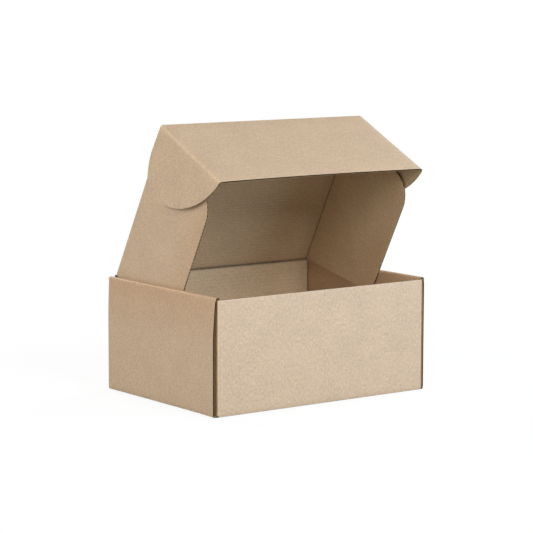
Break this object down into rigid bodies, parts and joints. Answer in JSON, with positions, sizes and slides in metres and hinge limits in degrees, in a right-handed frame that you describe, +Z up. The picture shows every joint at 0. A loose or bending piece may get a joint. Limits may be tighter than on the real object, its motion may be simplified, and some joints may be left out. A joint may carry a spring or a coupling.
{
  "type": "corrugated mailer box",
  "caption": "Plain kraft corrugated mailer box with rolled side walls and a hinged lid that has dust flaps, a tuck flap and lock ears, standing open.",
  "frame": {"origin": "on the floor, under the middle of the tray", "axes": "+X to the right along the front wall, +Y from the front wall to the hinge, +Z up"},
  "size_m": [0.226, 0.164, 0.2374],
  "materials": {
    "kraft_board": "matt brown kraft liner over fine corrugation"
  },
  "bodies": {
    "tray": {"tray": "kraft_board"},
    "lid": {"lid": "kraft_board"},
    "tuck_flap": {"tuck_flap": "kraft_board"},
    "left_lock_ear": {"left_lock_ear": "kraft_board"},
    "right_lock_ear": {"right_lock_ear": "kraft_board"}
  },
  "joints": [
    {"name": "lid_hinge", "type": "hinge", "parent": "tray", "child": "lid", "pos_m": [0, 0.08125, 0.09925], "axis": [-1, 0, 0], "range_deg": [-25, 119]},
    {"name": "tuck_flap_fold", "type": "hinge", "parent": "lid", "child": "tuck_flap", "pos_m": [0, 0.00463, 0.23651], "axis": [-1, 0, 0], "range_deg": [-8, 86.84]},
    {"name": "left_ear_fold", "type": "hinge", "parent": "tuck_flap", "child": "left_lock_ear", "pos_m": [-0.10765, 0.00463, 0.23651], "axis": [0, 0.8987, 0.4385], "range_deg": [-4.7, 85.3]},
    {"name": "right_ear_fold", "type": "hinge", "parent": "tuck_flap", "child": "right_lock_ear", "pos_m": [0.10765, 0.00463, 0.23651], "axis": [0, -0.8987, -0.4385], "range_deg": [-4.7, 85.3]}
  ]
}
